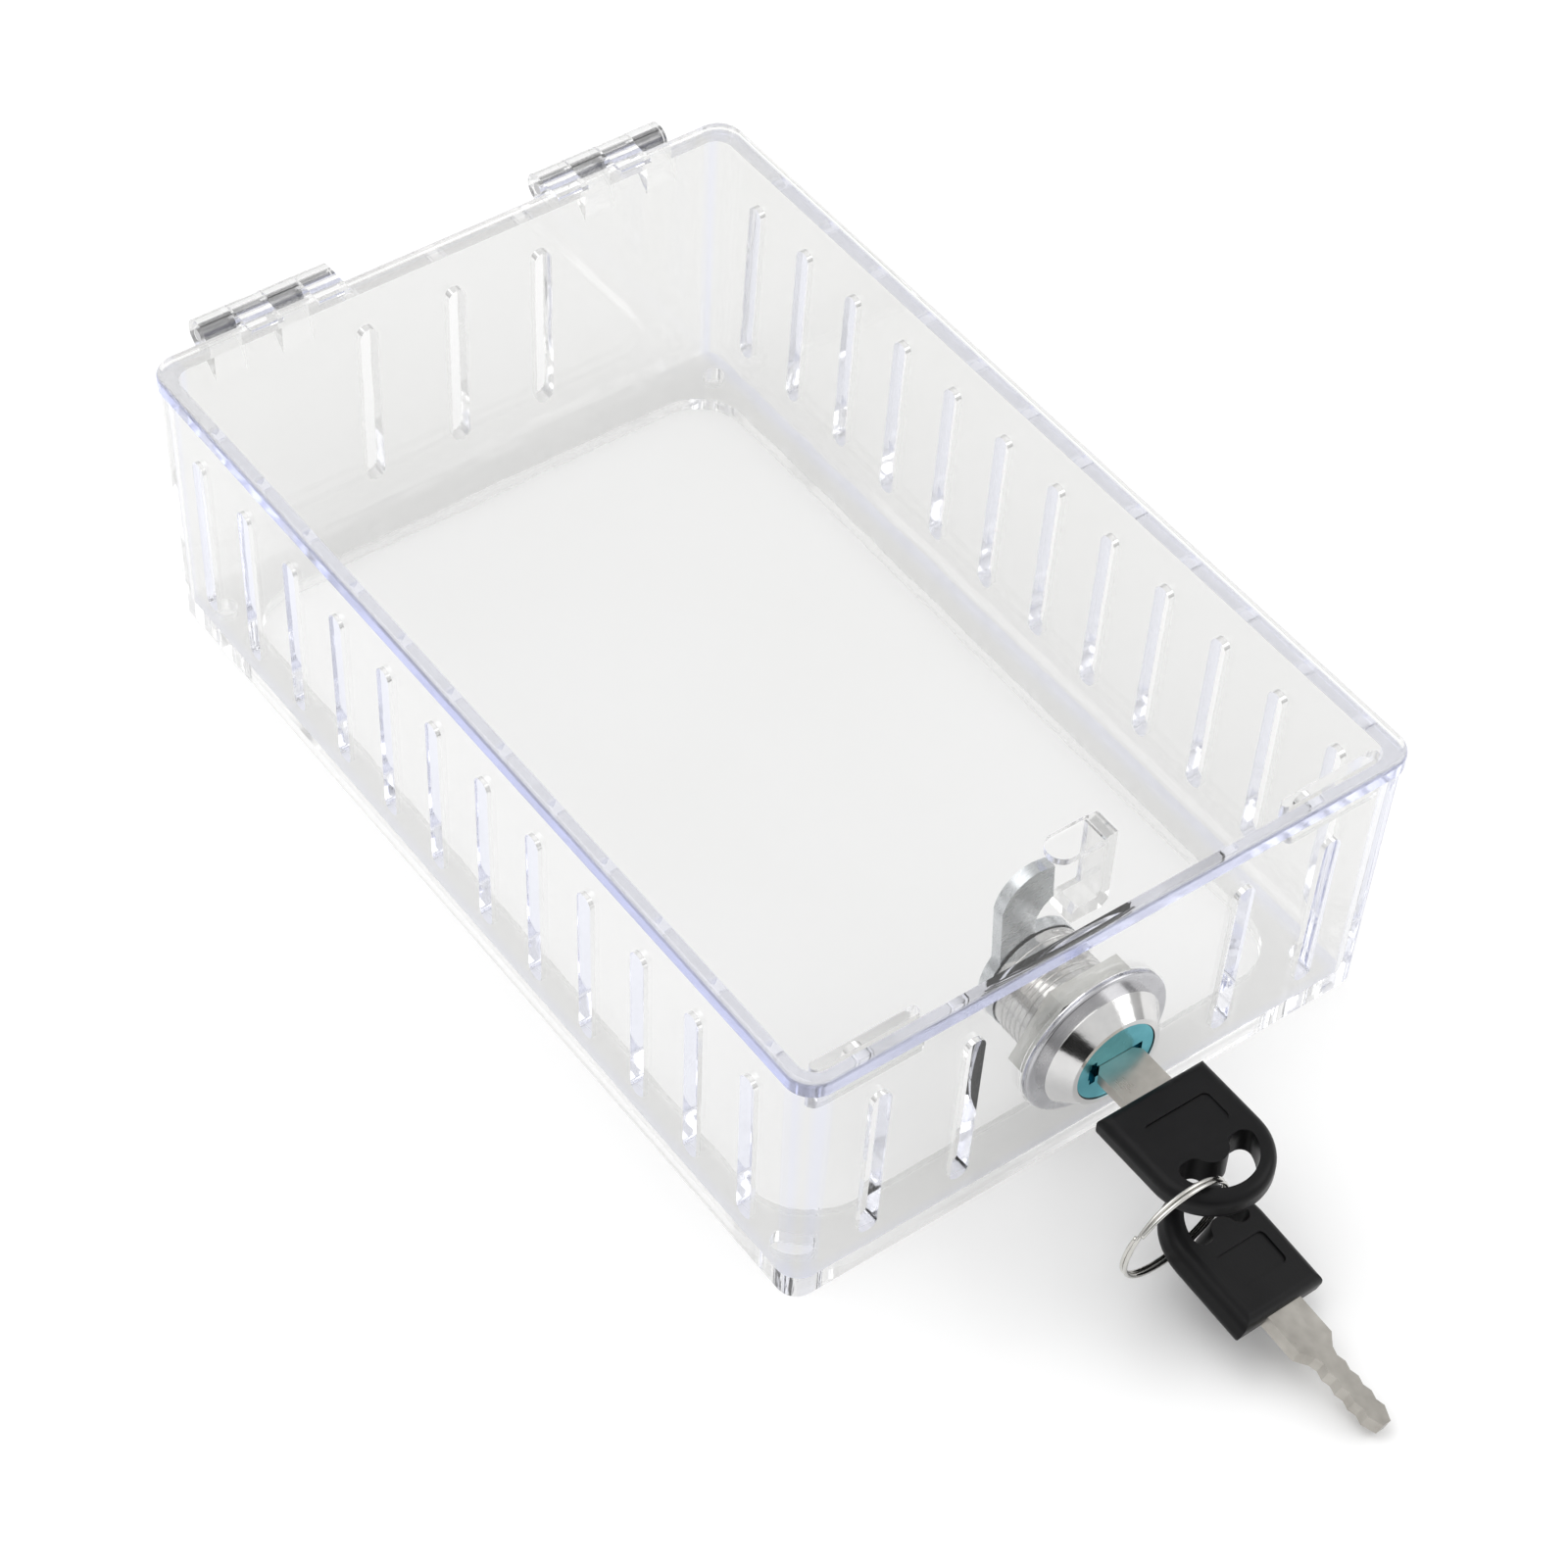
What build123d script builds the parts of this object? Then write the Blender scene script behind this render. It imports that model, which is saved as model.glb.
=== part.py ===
from build123d import *
import math
import os

# Clear lockable wall box with two keys on a split ring.
# Origin: centre of the base's underside. +Z is up, -Y is the lock side, +Y the hinge side.
# All sizes are in millimetres.

# ---- lid and walls ----
LID_WIDTH = 108.0
LID_LENGTH = 168.0
LID_THICKNESS = 2.8
LID_CORNER_RADIUS = 4.5
LID_EDGE_RADIUS = 0.9
LID_OVERHANG = 0.4
BOX_HEIGHT = 50.0
RIM_GAP = 0.1
WALL = 2.5
DRAFT_DEG = 1.2
WALL_CORNER_RADIUS = 3.2

LID_UNDERSIDE = BOX_HEIGHT - LID_THICKNESS
RIM_HEIGHT = LID_UNDERSIDE - RIM_GAP
DRAFT_SLOPE = math.tan(math.radians(DRAFT_DEG))
RIM_INSET = RIM_HEIGHT * DRAFT_SLOPE
BASE_WIDTH = LID_WIDTH - 2 * LID_OVERHANG - 2 * RIM_INSET
BASE_LENGTH = LID_LENGTH - 2 * LID_OVERHANG - 2 * RIM_INSET

# ---- base: a border round a large opening, with a screw hole in each corner ----
BASE_THICKNESS = 2.5
OPENING_WIDTH = 90.0
OPENING_LENGTH = 146.0
OPENING_RADIUS = 9.0
SCREW_HOLE_RADIUS = 1.8
SCREW_SPACING_X = 93.2
SCREW_SPACING_Y = 149.2

# ---- ventilation slots ----
SLOT_WIDTH = 3.2
SLOT_HEIGHT = 31.5
SLOT_CENTRE_Z = 23.5
SIDE_SLOTS = 12
SIDE_SLOT_PITCH = 12.9
BACK_SLOTS = 3
BACK_SLOT_PITCH = 16.35
FRONT_SLOT_XS = (-40.0, -24.0, 24.0, 40.0)

# ---- hinges ----
HINGE_Y = LID_LENGTH / 2 + 3.2
HINGE_Z = 48.0
HINGE_CENTRE_X = 31.2
KNUCKLE_RADIUS = 2.6
KNUCKLE_PITCH = 6.0
KNUCKLE_LENGTH = 5.6
KNUCKLES = 4
PIN_END_INSET = 0.3
PIN_RADIUS = 1.0
PIN_CLEARANCE = 0.06
LEAF_REACH = 4.0
LEAF_SLOPE = 1.0
EAR_TOP_GAP = 0.2
EAR_DROP = 6.5
EAR_TANGENT_Y = 0.6
EAR_TANGENT_Z = 0.8

# ---- lid ribs and catch ----
RIB_LENGTH = 18.0
RIB_THICKNESS = 1.6
RIB_DEPTH = 5.0
RIB_OUTER_X = 50.0
RIB_GAP = 0.6
CATCH_LEFT_X = -0.7
CATCH_RIGHT_X = 9.9
CATCH_WIDTH_Y = 5.0
CATCH_PAD = 1.2
CATCH_BAR_LEFT_X = 3.2
CATCH_BAR_TOP = 34.6
CATCH_BAR_BOTTOM = 31.8
CATCH_BAR_CHAMFER = 1.0
CATCH_LEG = 2.2

# ---- lock ----
LOCK_X = -1.65
LOCK_Z = 23.7
SEAT_RADIUS = 12.9
SEAT_MARGIN = 0.3
WASHER_RADIUS = 12.6
WASHER_THICKNESS = 1.2
WASHER_EDGE_RADIUS = 0.4
BARREL_RADIUS = 8.0
BARREL_HOLE_RADIUS = 8.15
BARREL_END_Y = -69.5
HEAD_RADIUS = 10.3
HEAD_RIM = 1.15
HEAD_FACE_RADIUS = 7.8
HEAD_CONE = 3.0
PLUG_HEAD_RADIUS = 6.9
PLUG_HEAD_DEPTH = 1.6
PLUG_RADIUS = 6.0
PLUG_CLEARANCE = 0.06
PLUG_RECESS = 0.2
NUT_ACROSS_FLATS = 21.0
NUT_THICKNESS = 3.4
NUT_SEAT_RADIUS = 12.6
CAM_THICKNESS = 2.0
CAM_GAP = 0.3
CAM_HUB_RADIUS = 8.2
CAM_DRIVE = 6.0
CAM_WASHER_RADIUS = 4.6
CAM_WASHER_THICKNESS = 0.8
CAM_SCREW_RADIUS = 1.5
CAM_SCREW_LENGTH = 3.8
CAM_SCREW_HEAD_RADIUS = 3.2
CAM_SCREW_HEAD = 2.0
CAM_SCREW_HEAD_EDGE = 0.8
DRIVE_SLOT_LENGTH = 4.0
DRIVE_SLOT_WIDTH = 0.8
DRIVE_SLOT_DEPTH = 1.0

# the cam's hook, its points across and up from the lock's axis
HOOK_FOOT_LEFT = (-6.0, 0.0)
HOOK_SIDE_LEFT = (-7.1, 16.2)
HOOK_CROWN_LEFT = (-4.9, 20.5)
HOOK_TOP = (-1.0, 21.9)
HOOK_NOSE_TOP = (1.6, 21.4)
HOOK_NOSE_BOTTOM = (2.1, 14.6)
HOOK_THROAT = (0.2, 13.1)
HOOK_SIDE_RIGHT = (-0.6, 11.2)
HOOK_FOOT_RIGHT = (-0.2, 0.0)

RIM_HALF_LENGTH = LID_LENGTH / 2 - LID_OVERHANG
WALL_Y_AT_LOCK = RIM_HALF_LENGTH - (RIM_HEIGHT - LOCK_Z) * DRAFT_SLOPE
SEAT_Y = -(WALL_Y_AT_LOCK - SEAT_MARGIN)
NUT_SEAT_Y = -(WALL_Y_AT_LOCK - WALL + SEAT_MARGIN)
HEAD_BACK_Y = SEAT_Y - WASHER_THICKNESS
HEAD_FACE_Y = HEAD_BACK_Y - HEAD_RIM - HEAD_CONE
PLUG_FACE_Y = HEAD_FACE_Y + PLUG_RECESS
CAM_FRONT_Y = BARREL_END_Y + CAM_GAP
CAM_BACK_Y = CAM_FRONT_Y + CAM_THICKNESS

# ---- keys ----
BLADE_WIDTH = 8.0
BLADE_THICKNESS = 2.0
BLADE_SHOULDER = 7.4
BLADE_ROOT = 6.4
BLADE_LENGTH = 21.0
BLADE_TANG = 8.0
BLADE_TIP = 0.9
BLADE_TIP_TAPER = 2.2
BLADE_SHOULDER_STEP = 0.8
BLADE_CUTS = 4
CUT_PEAK = 2.1
CUT_VALLEY = 1.6
KEYWAY_WIDTH = 4.6
KEYWAY_CLEARANCE = 0.1
KEYWAY_SPARE = 1.0
FACE_SLOT_DEPTH = 1.0
FACE_SLOT_SPARE = 0.8
FACE_SLOT_END_WIDTH = 1.0
FACE_SLOT_END_HEIGHT = 4.4
BOW_WIDTH = 19.0
BOW_STRAIGHT = 12.5
BOW_THICKNESS = 4.6
BOW_EDGE_RADIUS = 1.7
BOW_HOLE_RADIUS = 6.6
BOW_HOLE_CENTRE = 13.2
BOW_HOLE_START = 12.8
BOW_BUMP_RADIUS = 2.8
BOW_BUMP_CENTRE = 12.6
BOW_HOLE_CORNER = 1.6
PANEL_WIDTH = 11.5
PANEL_HEIGHT = 5.6
PANEL_START = 5.0
PANEL_DEPTH = 0.3
PANEL_RADIUS = 1.0

# ---- split ring and second key, where they hang at rest ----
RING_RADIUS = 9.17
RING_WIRE_RADIUS = 0.33
RING_CENTRE = (-10.25, -112.08, 18.58)
RING_TILT_DEG = 7.1
RING_TURN_DEG = 2.8
KEY_2_PLACE = (-0.63, -125.54, 6.8)
KEY_2_YAW_DEG = 5.0
KEY_2_PITCH_DEG = 13.4
KEY_2_ROLL_DEG = 19.2

os.makedirs("parts", exist_ok=True)

# Planes that face the lock side: local x is the box's X, local y is the box's Z, local z is -Y.
lock_plane = Plane(origin=(LOCK_X, 0, LOCK_Z), x_dir=(1, 0, 0), z_dir=(0, -1, 0))


def lock_disc_plane(y):
    """Plane across the lock's axis at the box's y, facing the lock side."""
    return lock_plane.offset(-y)


def finish(piece, name):
    """Name a finished piece and write it."""
    piece.part.label = name
    export_step(piece.part, "parts/" + name + ".step")


def knuckle_centres(side, first):
    """X centres of one hinge's knuckles, two of its four, counted from its outer end."""
    centres = []
    for index in range(first, KNUCKLES, 2):
        along = (index - (KNUCKLES - 1) / 2) * KNUCKLE_PITCH
        centres.append(side * (HINGE_CENTRE_X - along))
    return centres


def knuckle_plane(centre_x):
    """Plane across the hinge axis at one end of a knuckle, facing +X."""
    return Plane(origin=(centre_x - KNUCKLE_LENGTH / 2, 0, 0), x_dir=(0, 1, 0), z_dir=(1, 0, 0))


# ======== box body ========
with BuildPart() as box_body:
    with BuildSketch():
        RectangleRounded(BASE_WIDTH, BASE_LENGTH, WALL_CORNER_RADIUS)
    extrude(amount=RIM_HEIGHT, taper=-DRAFT_DEG)

    with BuildSketch(Plane.XY.offset(BASE_THICKNESS)):
        floor_growth = 2 * BASE_THICKNESS * DRAFT_SLOPE
        RectangleRounded(
            BASE_WIDTH - 2 * WALL + floor_growth,
            BASE_LENGTH - 2 * WALL + floor_growth,
            WALL_CORNER_RADIUS - WALL / 2,
        )
    extrude(amount=RIM_HEIGHT - BASE_THICKNESS, taper=-DRAFT_DEG, mode=Mode.SUBTRACT)

    # border opening and corner screw holes
    with BuildSketch():
        RectangleRounded(OPENING_WIDTH, OPENING_LENGTH, OPENING_RADIUS)
    extrude(amount=BASE_THICKNESS, mode=Mode.SUBTRACT)
    with BuildSketch():
        with GridLocations(SCREW_SPACING_X, SCREW_SPACING_Y, 2, 2):
            Circle(SCREW_HOLE_RADIUS)
    extrude(amount=BASE_THICKNESS, mode=Mode.SUBTRACT)

    # side slots, cut through both long walls at once
    with BuildSketch(Plane.YZ):
        with Locations((0, SLOT_CENTRE_Z)):
            with GridLocations(SIDE_SLOT_PITCH, 0, SIDE_SLOTS, 1):
                SlotOverall(SLOT_HEIGHT, SLOT_WIDTH, rotation=90)
    extrude(amount=LID_WIDTH, both=True, mode=Mode.SUBTRACT)

    # back slots
    with BuildSketch(Plane.XZ):
        with Locations((0, SLOT_CENTRE_Z)):
            with GridLocations(BACK_SLOT_PITCH, 0, BACK_SLOTS, 1):
                SlotOverall(SLOT_HEIGHT, SLOT_WIDTH, rotation=90)
    extrude(amount=-LID_LENGTH, mode=Mode.SUBTRACT)

    # front slots, two each side of the lock
    with BuildSketch(Plane.XZ):
        with Locations(*[(x, SLOT_CENTRE_Z) for x in FRONT_SLOT_XS]):
            SlotOverall(SLOT_HEIGHT, SLOT_WIDTH, rotation=90)
    extrude(amount=LID_LENGTH, mode=Mode.SUBTRACT)

    # lock hole, and flat seats for the washer outside and the nut inside
    with BuildSketch(lock_plane):
        Circle(BARREL_HOLE_RADIUS)
    extrude(amount=LID_LENGTH, mode=Mode.SUBTRACT)
    with BuildSketch(lock_disc_plane(SEAT_Y)):
        Circle(SEAT_RADIUS)
    extrude(amount=WALL, mode=Mode.SUBTRACT)
    with BuildSketch(lock_disc_plane(NUT_SEAT_Y)):
        Circle(NUT_SEAT_RADIUS)
    extrude(amount=-WALL, mode=Mode.SUBTRACT)

    # body knuckles on ears that grow out of the back wall
    for side in (-1, 1):
        for centre_x in knuckle_centres(side, 0):
            with BuildSketch(knuckle_plane(centre_x)):
                with Locations((HINGE_Y, HINGE_Z)):
                    Circle(KNUCKLE_RADIUS)
                with BuildLine():
                    Polyline(
                        (RIM_HALF_LENGTH - WALL / 2, RIM_HEIGHT - EAR_TOP_GAP),
                        (HINGE_Y, RIM_HEIGHT - EAR_TOP_GAP),
                        (
                            HINGE_Y + KNUCKLE_RADIUS * EAR_TANGENT_Y,
                            HINGE_Z - KNUCKLE_RADIUS * EAR_TANGENT_Z,
                        ),
                        (RIM_HALF_LENGTH - EAR_TOP_GAP, RIM_HEIGHT - EAR_DROP),
                        (RIM_HALF_LENGTH - WALL / 2, RIM_HEIGHT - EAR_DROP),
                        close=True,
                    )
                make_face()
                with Locations((HINGE_Y, HINGE_Z)):
                    Circle(PIN_RADIUS, mode=Mode.SUBTRACT)
            extrude(amount=KNUCKLE_LENGTH)
finish(box_body, "box_body")

# ======== lid ========
with BuildPart() as lid:
    with BuildSketch(Plane.XY.offset(LID_UNDERSIDE)):
        RectangleRounded(LID_WIDTH, LID_LENGTH, LID_CORNER_RADIUS)
    extrude(amount=LID_THICKNESS)
    fillet(lid.faces().sort_by(Axis.Z)[-1].edges(), LID_EDGE_RADIUS)

    # locating ribs just inside the front wall, with rounded ends
    rib_y = -(RIM_HALF_LENGTH - WALL - RIB_GAP - RIB_THICKNESS / 2)
    rib_x = RIB_OUTER_X - RIB_LENGTH / 2
    with BuildSketch(Plane.XY.offset(LID_UNDERSIDE)):
        with Locations((-rib_x, rib_y), (rib_x, rib_y)):
            SlotOverall(RIB_LENGTH, RIB_THICKNESS)
    extrude(amount=-RIB_DEPTH)

    # catch: a pad, a leg down its right side, and a bar that the cam hooks over
    catch_y = (CAM_FRONT_Y + CAM_BACK_Y) / 2
    with BuildSketch(Plane.XY.offset(LID_UNDERSIDE)):
        pad_length = CATCH_RIGHT_X - CATCH_LEFT_X
        with Locations((CATCH_LEFT_X + pad_length / 2, catch_y)):
            RectangleRounded(pad_length, CATCH_WIDTH_Y, CATCH_WIDTH_Y / 2 - 0.05)
    extrude(amount=-CATCH_PAD)
    with BuildSketch(Plane(origin=(0, catch_y, 0), x_dir=(1, 0, 0), z_dir=(0, -1, 0))):
        with BuildLine():
            Polyline(
                (CATCH_RIGHT_X - CATCH_LEG, LID_UNDERSIDE),
                (CATCH_RIGHT_X - CATCH_LEG, CATCH_BAR_TOP),
                (CATCH_BAR_LEFT_X + CATCH_BAR_CHAMFER, CATCH_BAR_TOP),
                (CATCH_BAR_LEFT_X, CATCH_BAR_TOP - CATCH_BAR_CHAMFER),
                (CATCH_BAR_LEFT_X, CATCH_BAR_BOTTOM),
                (CATCH_RIGHT_X - CATCH_BAR_CHAMFER, CATCH_BAR_BOTTOM),
                (CATCH_RIGHT_X, CATCH_BAR_BOTTOM + CATCH_BAR_CHAMFER),
                (CATCH_RIGHT_X, LID_UNDERSIDE),
                close=True,
            )
        make_face()
    extrude(amount=CATCH_WIDTH_Y / 2 - 0.2, both=True)

    # lid knuckles, each on a leaf that wraps over the lid's back edge
    leaf_top = HINGE_Z + KNUCKLE_RADIUS
    for side in (-1, 1):
        for centre_x in knuckle_centres(side, 1):
            with BuildSketch(knuckle_plane(centre_x)):
                with Locations((HINGE_Y, HINGE_Z)):
                    Circle(KNUCKLE_RADIUS)
                with BuildLine():
                    Polyline(
                        (HINGE_Y, LID_UNDERSIDE),
                        (HINGE_Y, leaf_top),
                        (LID_LENGTH / 2 - LEAF_REACH + LEAF_SLOPE, leaf_top),
                        (LID_LENGTH / 2 - LEAF_REACH, BOX_HEIGHT - LID_THICKNESS / 2),
                        (LID_LENGTH / 2 - LEAF_REACH, LID_UNDERSIDE),
                        close=True,
                    )
                make_face()
                with Locations((HINGE_Y, HINGE_Z)):
                    Circle(PIN_RADIUS + PIN_CLEARANCE, mode=Mode.SUBTRACT)
            extrude(amount=KNUCKLE_LENGTH)
finish(lid, "lid")

# ======== hinge pins, held in the body's knuckles ========
pin_length = KNUCKLES * KNUCKLE_PITCH - 2 * PIN_END_INSET
for side, side_name in ((-1, "left"), (1, "right")):
    pin_start = side * HINGE_CENTRE_X - pin_length / 2
    with BuildPart() as hinge_pin:
        with BuildSketch(Plane(origin=(pin_start, HINGE_Y, HINGE_Z), x_dir=(0, 1, 0), z_dir=(1, 0, 0))):
            Circle(PIN_RADIUS)
        extrude(amount=pin_length)
    finish(hinge_pin, "hinge_pin_" + side_name)

# ======== lock: washer, housing, nut ========
with BuildPart() as lock_washer:
    with BuildSketch(lock_disc_plane(SEAT_Y)):
        Circle(WASHER_RADIUS)
        Circle(BARREL_HOLE_RADIUS, mode=Mode.SUBTRACT)
    extrude(amount=WASHER_THICKNESS)
    fillet(lock_washer.faces().sort_by(Axis.Y)[0].outer_wire().edges(), WASHER_EDGE_RADIUS)
finish(lock_washer, "lock_washer")

with BuildPart() as lock_housing:
    with BuildSketch(lock_disc_plane(HEAD_BACK_Y)):
        Circle(HEAD_RADIUS)
    extrude(amount=HEAD_RIM)
    with BuildSketch(lock_disc_plane(HEAD_BACK_Y - HEAD_RIM)):
        Circle(HEAD_RADIUS)
    with BuildSketch(lock_disc_plane(HEAD_FACE_Y)):
        Circle(HEAD_FACE_RADIUS)
    loft()
    with BuildSketch(lock_disc_plane(BARREL_END_Y)):
        Circle(BARREL_RADIUS)
    extrude(amount=BARREL_END_Y - HEAD_BACK_Y)
    with BuildSketch(lock_disc_plane(BARREL_END_Y)):
        Circle(PLUG_RADIUS + PLUG_CLEARANCE)
    extrude(amount=BARREL_END_Y - HEAD_FACE_Y, mode=Mode.SUBTRACT)
    with BuildSketch(lock_disc_plane(HEAD_FACE_Y)):
        Circle(PLUG_HEAD_RADIUS + PLUG_CLEARANCE)
    extrude(amount=-(PLUG_RECESS + PLUG_HEAD_DEPTH), mode=Mode.SUBTRACT)
finish(lock_housing, "lock_housing")

with BuildPart() as lock_nut:
    with BuildSketch(lock_disc_plane(NUT_SEAT_Y)):
        RegularPolygon(NUT_ACROSS_FLATS / 2, 6, major_radius=False)
        Circle(BARREL_RADIUS, mode=Mode.SUBTRACT)
    extrude(amount=-NUT_THICKNESS)
finish(lock_nut, "lock_nut")

# ======== lock: plug, cam, cam washer and screw ========
with BuildPart() as lock_plug:
    with BuildSketch(lock_disc_plane(BARREL_END_Y)):
        Circle(PLUG_RADIUS)
    extrude(amount=BARREL_END_Y - PLUG_FACE_Y)
    with BuildSketch(lock_disc_plane(PLUG_FACE_Y + PLUG_HEAD_DEPTH - PLUG_CLEARANCE)):
        Circle(PLUG_HEAD_RADIUS)
    extrude(amount=PLUG_HEAD_DEPTH - PLUG_CLEARANCE)
    # square drive that carries the cam
    with BuildSketch(lock_disc_plane(CAM_BACK_Y)):
        Rectangle(CAM_DRIVE, CAM_DRIVE)
    extrude(amount=CAM_BACK_Y - BARREL_END_Y)
    # keyway, wider where the key's shoulder meets the face
    keyway_end = PLUG_FACE_Y + BLADE_LENGTH - BLADE_SHOULDER + KEYWAY_SPARE
    with BuildSketch(lock_disc_plane(keyway_end)):
        Rectangle(KEYWAY_WIDTH, BLADE_THICKNESS + 2 * KEYWAY_CLEARANCE)
    extrude(amount=keyway_end - PLUG_FACE_Y, mode=Mode.SUBTRACT)
    with BuildSketch(lock_disc_plane(PLUG_FACE_Y)):
        Rectangle(BLADE_WIDTH + 2 * FACE_SLOT_SPARE, BLADE_THICKNESS + 2 * KEYWAY_CLEARANCE)
        with Locations((-BLADE_WIDTH / 2, 0)):
            Rectangle(FACE_SLOT_END_WIDTH, FACE_SLOT_END_HEIGHT)
    extrude(amount=-FACE_SLOT_DEPTH, mode=Mode.SUBTRACT)
    # screw hole in the drive
    with BuildSketch(lock_disc_plane(CAM_BACK_Y)):
        Circle(CAM_SCREW_RADIUS)
    extrude(amount=CAM_SCREW_LENGTH, mode=Mode.SUBTRACT)
finish(lock_plug, "lock_plug")

with BuildPart() as lock_cam:
    with BuildSketch(lock_disc_plane(CAM_BACK_Y)):
        Circle(CAM_HUB_RADIUS)
        with BuildLine():
            stem_left = Line(HOOK_FOOT_LEFT, HOOK_SIDE_LEFT)
            crown = ThreePointArc(stem_left @ 1, HOOK_CROWN_LEFT, HOOK_TOP)
            crown_right = Line(crown @ 1, HOOK_NOSE_TOP)
            nose = Line(crown_right @ 1, HOOK_NOSE_BOTTOM)
            throat = ThreePointArc(nose @ 1, HOOK_THROAT, HOOK_SIDE_RIGHT)
            stem_right = Line(throat @ 1, HOOK_FOOT_RIGHT)
            Line(stem_right @ 1, stem_left @ 0)
        make_face()
        Rectangle(CAM_DRIVE, CAM_DRIVE, mode=Mode.SUBTRACT)
    extrude(amount=CAM_THICKNESS)
finish(lock_cam, "lock_cam")

with BuildPart() as cam_washer:
    with BuildSketch(lock_disc_plane(CAM_BACK_Y)):
        Circle(CAM_WASHER_RADIUS)
        Circle(CAM_SCREW_RADIUS, mode=Mode.SUBTRACT)
    extrude(amount=-CAM_WASHER_THICKNESS)
finish(cam_washer, "cam_washer")

with BuildPart() as cam_screw:
    screw_seat_y = CAM_BACK_Y + CAM_WASHER_THICKNESS
    with BuildSketch(lock_disc_plane(screw_seat_y)):
        Circle(CAM_SCREW_HEAD_RADIUS)
    extrude(amount=-CAM_SCREW_HEAD)
    fillet(cam_screw.faces().sort_by(Axis.Y)[-1].edges(), CAM_SCREW_HEAD_EDGE)
    with BuildSketch(lock_disc_plane(screw_seat_y)):
        Circle(CAM_SCREW_RADIUS)
    extrude(amount=CAM_WASHER_THICKNESS + CAM_SCREW_LENGTH)
    with BuildSketch(lock_disc_plane(screw_seat_y + CAM_SCREW_HEAD)):
        Rectangle(DRIVE_SLOT_LENGTH, DRIVE_SLOT_WIDTH)
        Rectangle(DRIVE_SLOT_WIDTH, DRIVE_SLOT_LENGTH)
    extrude(amount=DRIVE_SLOT_DEPTH, mode=Mode.SUBTRACT)
finish(cam_screw, "cam_screw")

# ======== keys ========
# A key lies in its own frame with local x along the key from the blade's root to the bow's far
# end, local y across it and local z through its thickness.
key_1_plane = Plane(
    origin=(LOCK_X, PLUG_FACE_Y - BLADE_SHOULDER, LOCK_Z), x_dir=(0, -1, 0), z_dir=(0, 0, 1)
)
yaw = math.radians(KEY_2_YAW_DEG)
pitch = math.radians(KEY_2_PITCH_DEG)
roll = math.radians(KEY_2_ROLL_DEG)
key_2_along = Vector(-math.sin(yaw) * math.cos(pitch), math.cos(yaw) * math.cos(pitch), math.sin(pitch))
key_2_across = Vector(math.cos(yaw), math.sin(yaw), 0)
key_2_up = key_2_across.cross(key_2_along) * math.cos(roll) + key_2_across * math.sin(roll)
key_2_plane = Plane(origin=KEY_2_PLACE, x_dir=key_2_along, z_dir=key_2_up)

# blade: tang, wide root, shoulder, wavy cuts on both edges, and a pointed tip
cuts_start = BLADE_SHOULDER + BLADE_SHOULDER_STEP
cuts_end = BLADE_LENGTH - BLADE_TIP_TAPER
upper_edge = [(BLADE_TANG, BLADE_WIDTH / 2), (-BLADE_ROOT, BLADE_WIDTH / 2)]
for step in range(2 * BLADE_CUTS + 1):
    along = cuts_start + (cuts_end - cuts_start) * step / (2 * BLADE_CUTS)
    upper_edge.append((-along, CUT_PEAK if step % 2 == 0 else CUT_VALLEY))
upper_edge.append((-BLADE_LENGTH, BLADE_TIP))
lower_edge = [(x, -y) for x, y in reversed(upper_edge)]
with BuildSketch() as blade_profile:
    with BuildLine():
        Polyline(*upper_edge, *lower_edge, close=True)
    make_face()

with BuildSketch() as bow_profile:
    with Locations((BOW_STRAIGHT / 2, 0)):
        Rectangle(BOW_STRAIGHT, BOW_WIDTH)
    with Locations((BOW_STRAIGHT, 0)):
        Circle(BOW_WIDTH / 2)

# kidney hole: a round end cut short, with a bump standing into it
with BuildSketch() as kidney:
    with Locations((BOW_HOLE_CENTRE, 0)):
        Circle(BOW_HOLE_RADIUS)
    with Locations((BOW_HOLE_START - BOW_HOLE_RADIUS, 0)):
        Rectangle(2 * BOW_HOLE_RADIUS, 4 * BOW_HOLE_RADIUS, mode=Mode.SUBTRACT)
    with Locations((BOW_BUMP_CENTRE, 0)):
        Circle(BOW_BUMP_RADIUS, mode=Mode.SUBTRACT)
    fillet(kidney.vertices(), BOW_HOLE_CORNER)

for number, key_plane in ((1, key_1_plane), (2, key_2_plane)):
    with BuildPart() as key_blade:
        with BuildSketch(key_plane):
            add(blade_profile.sketch)
        extrude(amount=BLADE_THICKNESS / 2, both=True)
    finish(key_blade, "key_%d_blade" % number)

    with BuildPart() as key_bow:
        with BuildSketch(key_plane):
            add(bow_profile.sketch)
        extrude(amount=BOW_THICKNESS / 2, both=True)
        broad_faces = key_bow.faces().sort_by(SortBy.AREA)[-2:]
        fillet(broad_faces.edges(), BOW_EDGE_RADIUS)
        with BuildSketch(key_plane):
            add(kidney.sketch)
        extrude(amount=BOW_THICKNESS, both=True, mode=Mode.SUBTRACT)
        for facing in (-1, 1):
            with BuildSketch(key_plane.offset(facing * (BOW_THICKNESS / 2 - PANEL_DEPTH))):
                with Locations((PANEL_START + PANEL_HEIGHT / 2, 0)):
                    RectangleRounded(PANEL_HEIGHT, PANEL_WIDTH, PANEL_RADIUS)
            extrude(amount=facing * BOW_THICKNESS, mode=Mode.SUBTRACT)
        with BuildSketch(key_plane):
            with Locations((BLADE_TANG / 2, 0)):
                Rectangle(BLADE_TANG, BLADE_WIDTH)
        extrude(amount=BLADE_THICKNESS / 2, both=True, mode=Mode.SUBTRACT)
    finish(key_bow, "key_%d_bow" % number)

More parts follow.
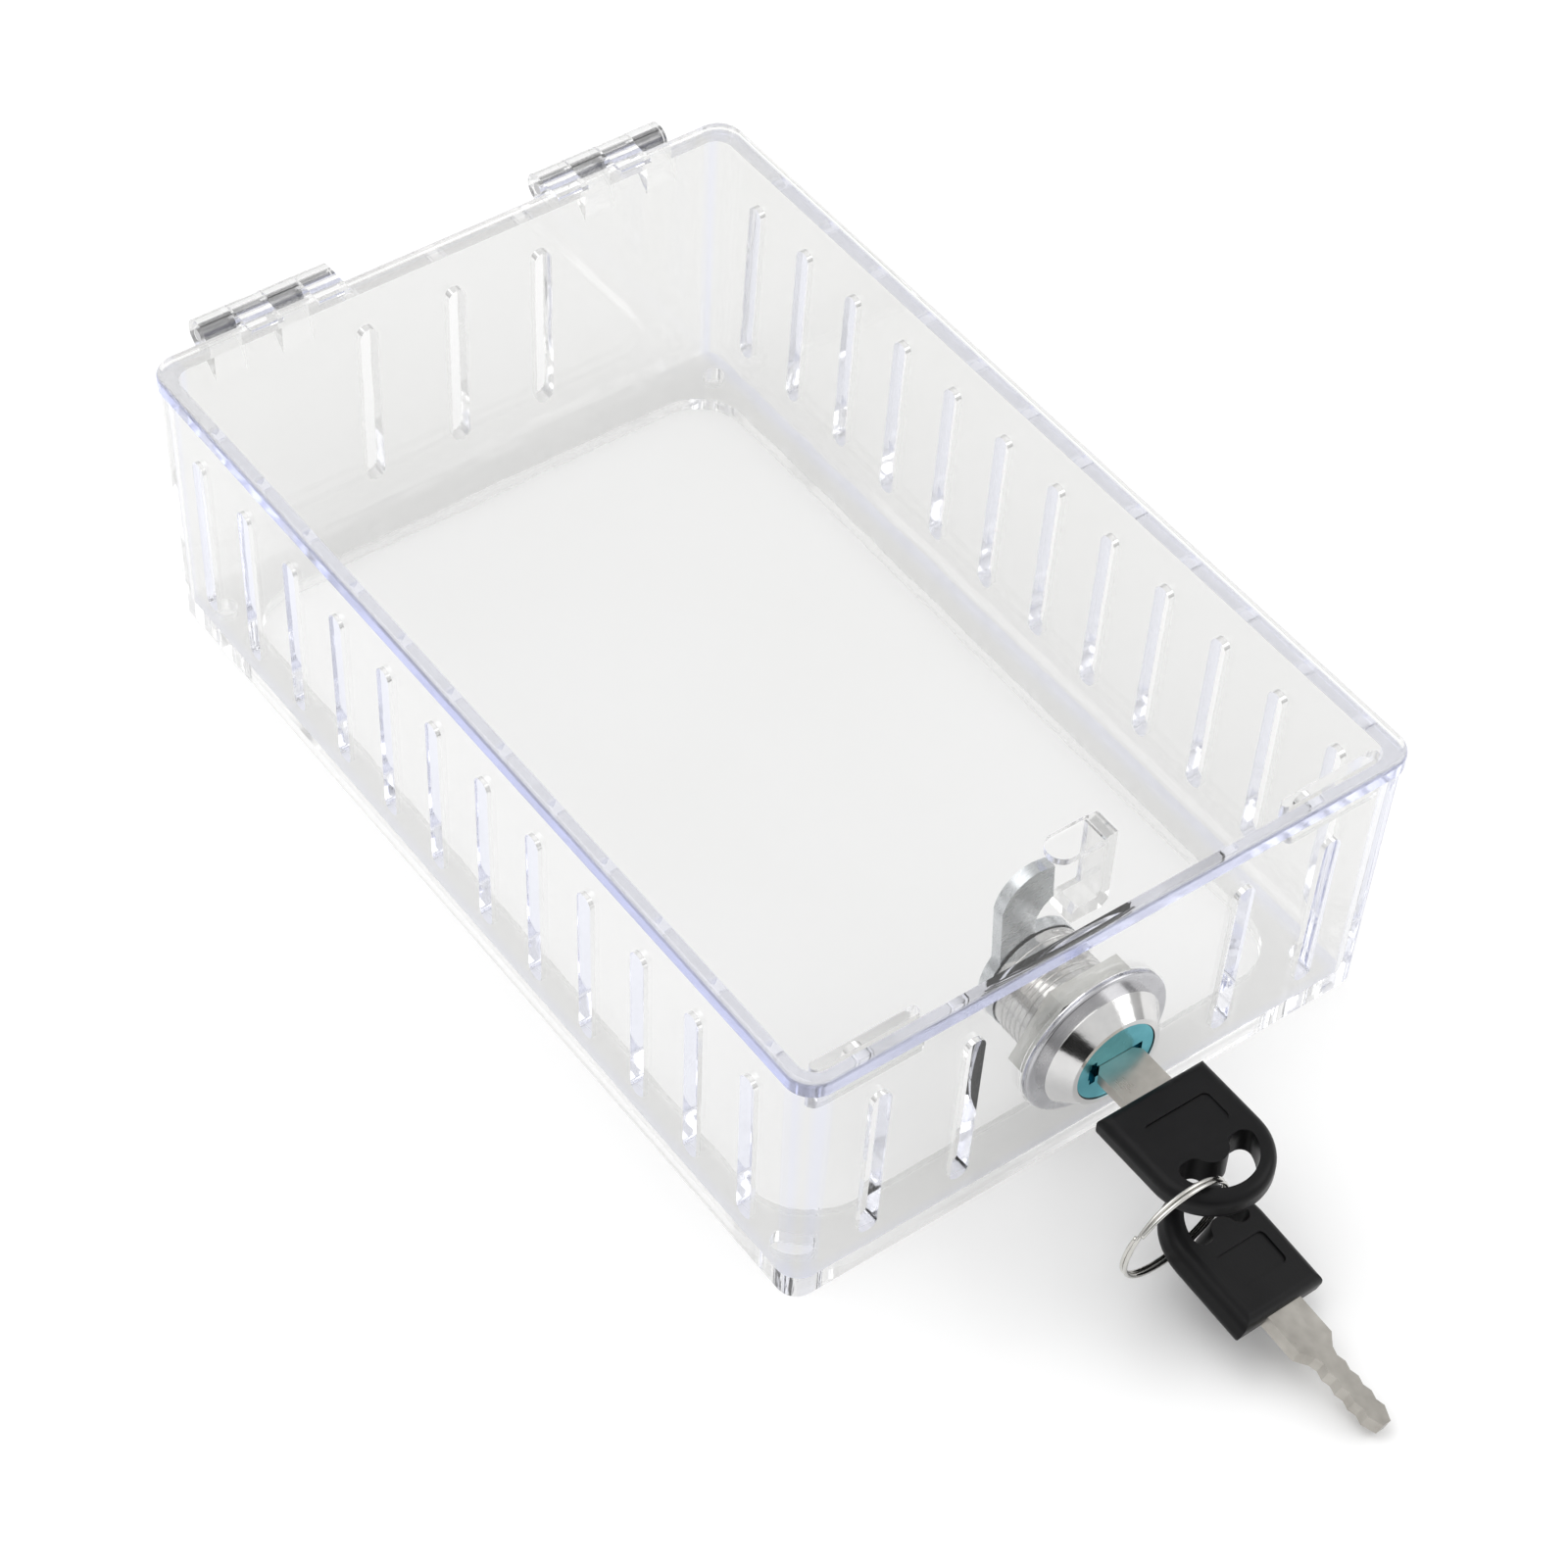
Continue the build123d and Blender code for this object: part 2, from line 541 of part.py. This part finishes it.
# ======== split ring: two turns of round wire side by side ========
ring_tilt = math.radians(RING_TILT_DEG)
ring_turn = math.radians(RING_TURN_DEG)
ring_across = Vector(math.cos(ring_turn), math.sin(ring_turn), 0)
ring_axis = Vector(
    math.sin(ring_turn) * math.cos(ring_tilt),
    -math.cos(ring_turn) * math.cos(ring_tilt),
    -math.sin(ring_tilt),
)
with BuildPart() as split_ring:
    with BuildSketch(Plane(origin=RING_CENTRE, x_dir=ring_across, z_dir=ring_axis.cross(ring_across))):
        with Locations((RING_RADIUS, 0)):
            SlotOverall(4 * RING_WIRE_RADIUS, 2 * RING_WIRE_RADIUS, rotation=90)
    revolve(axis=Axis(RING_CENTRE, ring_axis))
finish(split_ring, "split_ring")
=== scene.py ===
import math

import bmesh
import bpy
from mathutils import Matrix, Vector


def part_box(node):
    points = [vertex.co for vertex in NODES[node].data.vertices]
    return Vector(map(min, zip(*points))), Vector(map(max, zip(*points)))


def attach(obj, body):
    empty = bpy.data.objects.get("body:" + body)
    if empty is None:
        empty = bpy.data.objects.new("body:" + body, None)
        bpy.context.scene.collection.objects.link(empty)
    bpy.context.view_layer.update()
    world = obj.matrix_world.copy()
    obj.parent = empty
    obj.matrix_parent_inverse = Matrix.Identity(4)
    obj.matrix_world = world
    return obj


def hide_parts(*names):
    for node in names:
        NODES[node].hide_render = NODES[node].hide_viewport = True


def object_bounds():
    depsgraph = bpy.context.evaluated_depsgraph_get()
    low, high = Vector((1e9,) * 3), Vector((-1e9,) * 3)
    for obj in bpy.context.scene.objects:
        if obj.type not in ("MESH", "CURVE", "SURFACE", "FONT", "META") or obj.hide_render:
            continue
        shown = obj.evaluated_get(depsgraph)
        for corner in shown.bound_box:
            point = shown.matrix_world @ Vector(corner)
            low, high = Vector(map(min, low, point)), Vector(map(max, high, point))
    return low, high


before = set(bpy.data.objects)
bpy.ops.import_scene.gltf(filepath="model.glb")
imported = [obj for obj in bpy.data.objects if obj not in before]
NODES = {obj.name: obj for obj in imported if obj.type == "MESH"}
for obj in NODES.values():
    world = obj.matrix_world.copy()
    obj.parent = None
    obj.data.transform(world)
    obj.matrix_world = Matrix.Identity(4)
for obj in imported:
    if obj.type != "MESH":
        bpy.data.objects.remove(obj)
cad_low, cad_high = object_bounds()
MM = 0.001

# ---------------------------------------------------------------- places taken from the CAD
head_low, head_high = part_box("lock_housing")
plug_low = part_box("lock_plug")[0]
nut_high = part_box("lock_nut")[1]
ring_low, ring_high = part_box("split_ring")
lock_axis = Vector(((head_low.x + head_high.x) / 2, 0, (head_low.z + head_high.z) / 2))


# ---------------------------------------------------------------- node helpers
NOISE_ROUGHNESS = 0.6


class Nodes:
    """A material under construction: its tree, its Principled node and short ways to add nodes."""

    def __init__(self, name):
        self.material = bpy.data.materials.new(name)
        self.material.use_nodes = True
        self.tree = self.material.node_tree
        self.shader = self.tree.nodes["Principled BSDF"]
        self.output = self.tree.nodes["Material Output"]
        coords = self.tree.nodes.new("ShaderNodeTexCoord")
        self.place = coords.outputs["Object"]
        self.normal = coords.outputs["Normal"]

    def add(self, kind, **settings):
        node = self.tree.nodes.new("ShaderNode" + kind)
        for key, value in settings.items():
            setattr(node, key, value)
        return node

    def join(self, source, target):
        self.tree.links.new(source, target)

    def put(self, target, value):
        """Link a socket, or set a number or colour."""
        if isinstance(value, bpy.types.NodeSocket):
            self.join(value, target)
        else:
            target.default_value = value

    def set(self, **values):
        """Set or link sockets of the Principled node; an underscore stands for a space."""
        for key, value in values.items():
            self.put(self.shader.inputs[key.replace("_", " ")], value)

    def math(self, operation, a, b=0.0):
        node = self.add("Math", operation=operation)
        self.put(node.inputs[0], a)
        self.put(node.inputs[1], b)
        return node.outputs[0]

    def noise(self, scale, detail, stretch=(1, 1, 1)):
        """Noise from 0 to 1 in object space; scale is in cycles per metre."""
        mapping = self.add("Mapping")
        self.join(self.place, mapping.inputs["Vector"])
        mapping.inputs["Scale"].default_value = stretch
        node = self.add("TexNoise")
        self.join(mapping.outputs[0], node.inputs["Vector"])
        node.inputs["Scale"].default_value = scale
        node.inputs["Detail"].default_value = detail
        node.inputs["Roughness"].default_value = NOISE_ROUGHNESS
        return node.outputs["Fac"]

    def span(self, value, low, high, out_low=0.0, out_high=1.0):
        """Map low..high to out_low..out_high, clamped."""
        node = self.add("MapRange")
        self.put(node.inputs["Value"], value)
        for key, number in (("From Min", low), ("From Max", high), ("To Min", out_low), ("To Max", out_high)):
            node.inputs[key].default_value = number
        return node.outputs["Result"]

    def mix(self, share, a, b):
        """Colour a where share is 0, b where it is 1."""
        node = self.add("Mix", data_type="RGBA")
        self.put(node.inputs[0], share)
        self.put(node.inputs[6], a)
        self.put(node.inputs[7], b)
        return node.outputs[2]

    def bump(self, height, distance, strength):
        node = self.add("Bump")
        self.put(node.inputs["Height"], height)
        node.inputs["Distance"].default_value = distance
        node.inputs["Strength"].default_value = strength
        return node.outputs["Normal"]

    def parts(self, vector):
        """X, Y and Z outputs of a vector."""
        node = self.add("SeparateXYZ")
        self.join(vector, node.inputs[0])
        return node.outputs[0], node.outputs[1], node.outputs[2]


def rgb(r, g, b):
    return (r, g, b, 1.0)


# ---------------------------------------------------------------- clear plastic
PLASTIC_IOR = 1.49
LAMP_SHARE = 0.93
LID_EDGE_NEAR, LID_EDGE_FAR = 1.6 * MM, 2.0 * MM
WALL_SIDE_NEAR, WALL_SIDE_FAR = 4.8 * MM, 5.2 * MM
WALL_FRONT_NEAR, WALL_FRONT_FAR = 4.4 * MM, 4.8 * MM


def clear_plastic(name, edge_of, tint):
    """Clear moulded plastic. edge_of(nodes) is 1 on cut and moulded edges, where the tint gathers."""
    n = Nodes(name)
    edge = edge_of(n)
    cloud = n.noise(28, 3)
    fine = n.noise(900, 2)
    body = n.mix(cloud, rgb(0.875, 0.875, 0.865), rgb(0.905, 0.905, 0.905))
    height = n.math("ADD", cloud, n.math("MULTIPLY", fine, 0.015))
    n.set(
        Base_Color=n.mix(edge, body, tint), Roughness=n.span(fine, 0.3, 0.75, 0.012, 0.045),
        Transmission_Weight=1.0, IOR=PLASTIC_IOR, Normal=n.bump(height, 0.4 * MM, 0.25),
    )
    # lamps shine through the plastic, a little weaker at each face
    path = n.add("LightPath")
    through = n.add("BsdfTransparent")
    through.inputs["Color"].default_value = rgb(LAMP_SHARE, LAMP_SHARE, LAMP_SHARE)
    blend = n.add("MixShader")
    n.join(
        n.math("MAXIMUM", path.outputs["Is Shadow Ray"], path.outputs["Is Diffuse Ray"]), blend.inputs[0]
    )
    n.join(n.shader.outputs[0], blend.inputs[1])
    n.join(through.outputs[0], blend.inputs[2])
    n.join(blend.outputs[0], n.output.inputs["Surface"])
    return n.material


def own_box(node):
    """Lowest and highest corner of a node's mesh in its own coordinates."""
    corners = [vertex.co for vertex in NODES[node].data.vertices]
    low = Vector([min(c[i] for c in corners) for i in range(3)])
    high = Vector([max(c[i] for c in corners) for i in range(3)])
    return low, high


def from_middle(n, low, high):
    """Distance across the box from its middle."""
    return n.math("ABSOLUTE", n.math("SUBTRACT", n.parts(n.place)[0], (low.x + high.x) / 2))


def lid_edge(n):
    """1 on the plate's outer edge."""
    low, high = own_box("lid")
    half = (high.x - low.x) / 2
    side = n.span(from_middle(n, low, high), half - LID_EDGE_FAR, half - LID_EDGE_NEAR)
    front = n.span(n.parts(n.place)[1], low.y + LID_EDGE_NEAR, low.y + LID_EDGE_FAR, 1.0, 0.0)
    upright = n.span(n.math("ABSOLUTE", n.parts(n.normal)[2]), 0.45, 0.8, 1.0, 0.0)
    return n.math("MULTIPLY", upright, n.math("MAXIMUM", side, front))


def wall_edge(n):
    """1 on the slots' walls, the rim and the corners of the long walls and the front wall."""
    low, high = own_box("box_body")
    half = (high.x - low.x) / 2
    normal_x, normal_y = n.parts(n.normal)[:2]
    side = n.span(from_middle(n, low, high), half - WALL_SIDE_FAR, half - WALL_SIDE_NEAR)
    front = n.span(n.parts(n.place)[1], low.y + WALL_FRONT_NEAR, low.y + WALL_FRONT_FAR, 1.0, 0.0)
    side = n.math("MULTIPLY", side, n.span(n.math("ABSOLUTE", normal_x), 0.4, 0.7, 1.0, 0.0))
    front = n.math("MULTIPLY", front, n.span(n.math("ABSOLUTE", normal_y), 0.4, 0.7, 1.0, 0.0))
    return n.math("MAXIMUM", side, front)


# ---------------------------------------------------------------- metals and black plastic
METAL_GRAIN_HEIGHT = 0.02 * MM
PLASTIC_GRAIN_HEIGHT = 0.03 * MM


def metal(name, dark, light, rough, grain, grain_stretch=(1, 1, 1)):
    """Plated metal with fine grain, cloudy wear and roughness that follows both."""
    n = Nodes(name)
    lines = n.noise(grain, 3, grain_stretch)
    cloud = n.noise(160, 3)
    wear = n.math("MULTIPLY", n.math("ADD", lines, cloud), 0.5)
    n.set(
        Base_Color=n.mix(n.span(cloud, 0.3, 0.7), dark, light), Metallic=1.0,
        Roughness=n.span(wear, 0.25, 0.75, rough * 0.7, rough * 1.4),
        Normal=n.bump(lines, METAL_GRAIN_HEIGHT, 0.5),
    )
    return n.material


def black_plastic(name):
    """Black moulded plastic with a fine grain."""
    n = Nodes(name)
    grain = n.noise(2600, 2)
    cloud = n.noise(90, 3)
    n.set(
        Base_Color=n.mix(cloud, rgb(0.005, 0.005, 0.0055), rgb(0.012, 0.012, 0.0125)),
        Roughness=n.span(cloud, 0.3, 0.7, 0.30, 0.42), IOR=1.5, Specular_IOR_Level=0.12,
        Normal=n.bump(grain, PLASTIC_GRAIN_HEIGHT, 0.5),
    )
    return n.material


def dress(node, material):
    mesh = NODES[node].data
    mesh.materials.clear()
    mesh.materials.append(material)


chrome = metal("lock_chrome", rgb(0.60, 0.60, 0.60), rgb(0.72, 0.71, 0.70), 0.12, 1500, (1, 0.1, 1))
washer = metal("washer_chrome", rgb(0.46, 0.46, 0.48), rgb(0.58, 0.58, 0.60), 0.24, 1300)
zinc = metal("cam_zinc", rgb(0.52, 0.54, 0.56), rgb(0.70, 0.72, 0.74), 0.26, 1200, (0.2, 1, 1))
nut = metal("nut_zinc", rgb(0.60, 0.60, 0.58), rgb(0.76, 0.76, 0.73), 0.32, 1100)
teal = metal("plug_teal", rgb(0.06, 0.31, 0.37), rgb(0.14, 0.48, 0.55), 0.22, 1800, (1, 0.2, 1))
key_steel = metal("key_steel", rgb(0.36, 0.34, 0.31), rgb(0.52, 0.50, 0.46), 0.32, 3000, (1, 0.08, 1))
ring_steel = metal("ring_steel", rgb(0.55, 0.54, 0.51), rgb(0.68, 0.67, 0.64), 0.16, 900)
pin_steel = metal("pin_steel", rgb(0.42, 0.42, 0.43), rgb(0.60, 0.60, 0.61), 0.24, 1600, (0.1, 1, 1))
bow_black = black_plastic("bow_black")
# near-black colour for the painted shade in the gap round the plug's head
gap_painted_shade = metal("plug_gap_painted_shade", rgb(0.012, 0.012, 0.013), rgb(0.03, 0.03, 0.032), 0.5, 1500)

dress("lid", clear_plastic("clear_plastic_lid", lid_edge, rgb(0.56, 0.60, 0.93)))
dress("box_body", clear_plastic("clear_plastic_body", wall_edge, rgb(0.86, 0.87, 0.94)))
for node, material in (
    ("hinge_pin_left", pin_steel), ("hinge_pin_right", pin_steel), ("lock_washer", washer),
    ("lock_housing", chrome), ("lock_nut", nut), ("lock_plug", teal), ("lock_cam", zinc),
    ("cam_washer", zinc), ("cam_screw", zinc), ("key_1_blade", key_steel), ("key_2_blade", key_steel),
    ("key_1_bow", bow_black), ("key_2_bow", bow_black), ("split_ring", ring_steel),
):
    dress(node, material)


# ---------------------------------------------------------------- pieces added to the CAD nodes
def piece(name, points, faces, material, body):
    """A smooth mesh from world points, riding on a CAD body."""
    mesh = bpy.data.meshes.new(name)
    mesh.from_pydata(points, [], faces)
    bm = bmesh.new()
    bm.from_mesh(mesh)
    bmesh.ops.recalc_face_normals(bm, faces=bm.faces)
    bm.to_mesh(mesh)
    bm.free()
    for polygon in mesh.polygons:
        polygon.use_smooth = True
    mesh.materials.append(material)
    thing = bpy.data.objects.new(name, mesh)
    bpy.context.scene.collection.objects.link(thing)
    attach(thing, body)
    return thing


def sweep(path, outward, axis, radius, sides=10):
    """Points and faces of a round wire along a path, with the outward direction at each of its points."""
    points, faces = [], []
    for place, out in zip(path, outward):
        for k in range(sides):
            turn = 2 * math.pi * k / sides
            points.append(place + radius * (math.cos(turn) * out + math.sin(turn) * axis))
    for i in range(len(path) - 1):
        for k in range(sides):
            a, b = i * sides + k, i * sides + (k + 1) % sides
            faces.append((a, b, b + sides, a + sides))
    faces.append(tuple(range(sides)))
    faces.append(tuple(range((len(path) - 1) * sides, len(path) * sides)))
    return points, faces


# split ring: one wire wound twice, its two ends in view
RING_TILT, RING_TURN, RING_WIRE = math.radians(7.1), math.radians(2.8), 0.33 * MM
RING_SLACK = 1.04
RING_WIRE_SHARE = 0.97
RING_STEPS = 240
RING_START, RING_SWEEP = math.radians(150), math.radians(716)
RING_CROSS_START, RING_CROSS_LENGTH = 0.44, 0.12
ring_middle = (ring_low + ring_high) / 2
ring_right = Vector((math.cos(RING_TURN), math.sin(RING_TURN), 0))
ring_axis = Vector((
    math.sin(RING_TURN) * math.cos(RING_TILT),
    -math.cos(RING_TURN) * math.cos(RING_TILT),
    -math.sin(RING_TILT),
))
ring_up = ring_axis.cross(ring_right)
ring_radius = (ring_high.x - ring_low.x) / 2 - RING_WIRE * RING_SLACK
ring_path, ring_out = [], []
for step in range(RING_STEPS + 1):
    share = step / RING_STEPS
    turn = RING_START + share * RING_SWEEP
    out = math.cos(turn) * ring_right + math.sin(turn) * ring_up
    # halfway round, the wire crosses from the first turn's side to the second's
    crossing = min(1.0, max(0.0, (share - RING_CROSS_START) / RING_CROSS_LENGTH))
    side = 2 * crossing * crossing * (3 - 2 * crossing) - 1
    ring_path.append(ring_middle + ring_radius * out + side * RING_WIRE * ring_axis)
    ring_out.append(out)
ring_points, ring_faces = sweep(ring_path, ring_out, ring_axis, RING_WIRE * RING_WIRE_SHARE)
split_ring = piece("split_ring_wire", ring_points, ring_faces, ring_steel, "ring")
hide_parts("split_ring")

# thread ridge on the barrel between the nut and the barrel's end
THREAD_PITCH, THREAD_RADIUS, THREAD_WIRE = 1.0 * MM, 7.96 * MM, 0.22 * MM
THREAD_AFTER_NUT, THREAD_BEFORE_END = 0.3 * MM, 0.5 * MM
THREAD_STEPS, THREAD_SIDES = 48, 8
thread_start, thread_end = nut_high.y + THREAD_AFTER_NUT, head_high.y - THREAD_BEFORE_END
thread_turns = (thread_end - thread_start) / THREAD_PITCH
thread_path, thread_out = [], []
for step in range(int(thread_turns * THREAD_STEPS) + 1):
    turn = 2 * math.pi * step / THREAD_STEPS
    out = Vector((math.cos(turn), 0, math.sin(turn)))
    along = thread_start + THREAD_PITCH * step / THREAD_STEPS
    thread_path.append(Vector((lock_axis.x, along, lock_axis.z)) + THREAD_RADIUS * out)
    thread_out.append(out)
thread_points, thread_faces = sweep(thread_path, thread_out, Vector((0, 1, 0)), THREAD_WIRE, THREAD_SIDES)
piece("barrel_thread", thread_points, thread_faces, chrome, "box")

# painted shade: a near-black ring laid just proud of the plug's face, where the gap round the plug's head
# lies in shade
GAP_STEPS, GAP_INNER, GAP_OUTER, GAP_PROUD = 96, 6.82 * MM, 7.08 * MM, 0.02 * MM
gap_points, gap_faces = [], []
for step in range(GAP_STEPS):
    turn = 2 * math.pi * step / GAP_STEPS
    for radius in (GAP_INNER, GAP_OUTER):
        gap_points.append((
            lock_axis.x + radius * math.cos(turn),
            plug_low.y - GAP_PROUD,
            lock_axis.z + radius * math.sin(turn),
        ))
    after = (step + 1) % GAP_STEPS
    gap_faces.append((2 * step, 2 * step + 1, 2 * after + 1, 2 * after))
piece("plug_gap_painted_shade_ring", gap_points, gap_faces, gap_painted_shade, "box")


# ---------------------------------------------------------------- floor, light, camera
FLOOR_HALF = 4.0
FLOOR_DROP = 0.2 * MM
WORLD_STRENGTH = 0.92
ROOM_LOW, ROOM_FULL_AT = 0.55, 0.6
WEDGE_AZIMUTH, WEDGE_HALF, WEDGE_TOP = math.radians(-119), math.radians(21), 0.42
WEDGE_BLUR, WEDGE_LEFT = 0.02, 0.03
BOUNCES = 96

floor_mesh = bpy.data.meshes.new("floor")
bm = bmesh.new()
bmesh.ops.create_grid(bm, x_segments=1, y_segments=1, size=FLOOR_HALF)
bm.to_mesh(floor_mesh)
bm.free()
floor = bpy.data.objects.new("floor", floor_mesh)
floor.location.z = cad_low.z - FLOOR_DROP
bpy.context.scene.collection.objects.link(floor)
floor_nodes = Nodes("floor_white")
floor_nodes.set(
    Base_Color=floor_nodes.mix(floor_nodes.noise(6, 3), rgb(0.95, 0.95, 0.95), rgb(0.97, 0.97, 0.97)),
    Roughness=0.9, Specular_IOR_Level=0.1,
)
floor_mesh.materials.append(floor_nodes.material)

world = bpy.data.worlds.new("studio")
bpy.context.scene.world = world
world.use_nodes = True
world_tree = world.node_tree
background = world_tree.nodes["Background"]
background.inputs["Strength"].default_value = WORLD_STRENGTH


def world_math(operation, a, b=0.0):
    node = world_tree.nodes.new("ShaderNodeMath")
    node.operation = operation
    for socket, value in zip(node.inputs, (a, b)):
        if isinstance(value, bpy.types.NodeSocket):
            world_tree.links.new(value, socket)
        else:
            socket.default_value = value
    return node.outputs[0]


def world_span(value, low, high, out_low, out_high):
    node = world_tree.nodes.new("ShaderNodeMapRange")
    world_tree.links.new(value, node.inputs["Value"])
    for key, number in (("From Min", low), ("From Max", high), ("To Min", out_low), ("To Max", out_high)):
        node.inputs[key].default_value = number
    return node.outputs["Result"]


# the room: pale all round, darker low down, with one dark wedge beyond the lock side that only the
# opaque pieces mirror
way = world_tree.nodes.new("ShaderNodeTexCoord").outputs["Generated"]
split = world_tree.nodes.new("ShaderNodeSeparateXYZ")
world_tree.links.new(way, split.inputs[0])
azimuth = world_math("ARCTAN2", split.outputs[1], split.outputs[0])
up = split.outputs[2]
room = world_span(up, 0.0, ROOM_FULL_AT, ROOM_LOW, 1.0)
beside = world_math("ABSOLUTE", world_math("SUBTRACT", azimuth, WEDGE_AZIMUTH))
wedge = world_math(
    "MULTIPLY",
    world_span(beside, WEDGE_HALF - WEDGE_BLUR, WEDGE_HALF + WEDGE_BLUR, 1.0, 0.0),
    world_span(up, WEDGE_TOP - WEDGE_BLUR, WEDGE_TOP + WEDGE_BLUR, 1.0, 0.0),
)
passed_through = world_tree.nodes.new("ShaderNodeLightPath").outputs["Is Transmission Ray"]
wedge = world_math("MULTIPLY", wedge, world_math("SUBTRACT", 1.0, passed_through))
room = world_math("MULTIPLY", room, world_span(wedge, 0.0, 1.0, 1.0, WEDGE_LEFT))
world_tree.links.new(room, background.inputs["Color"])


def softbox(name, place, side, power):
    """A square soft lamp at a place, aimed at the origin."""
    light = bpy.data.lights.new(name, "AREA")
    light.shape = "RECTANGLE"
    light.size = light.size_y = side
    light.energy = power
    lamp = bpy.data.objects.new(name, light)
    lamp.location = place
    lamp.rotation_mode = "QUATERNION"
    lamp.rotation_quaternion = (-Vector(place)).to_track_quat("-Z", "Y")
    bpy.context.scene.collection.objects.link(lamp)


softbox("key_light", (-0.5, 0.3, 1.3), 1.2, 6.5)
softbox("fill_light", (1.1, -0.7, 0.9), 1.0, 4.6)

camera = bpy.data.objects.new("camera", bpy.data.cameras.new("camera"))
camera.data.sensor_width = 36.0
camera.data.lens = 96.25
camera.location = (-0.26826, -0.34032, 0.48255)
camera.rotation_euler = [math.radians(a) for a in (41.841, -2.441, -36.247)]
camera.data.clip_start = 0.01
camera.data.clip_end = 50.0
bpy.context.scene.collection.objects.link(camera)
bpy.context.scene.camera = camera
bpy.context.scene.view_settings.view_transform = "Standard"
# light has to find its way along the plastic to its edges
bpy.context.scene.cycles.max_bounces = BOUNCES
bpy.context.scene.cycles.transmission_bounces = BOUNCES
bpy.context.scene.cycles.glossy_bounces = BOUNCES
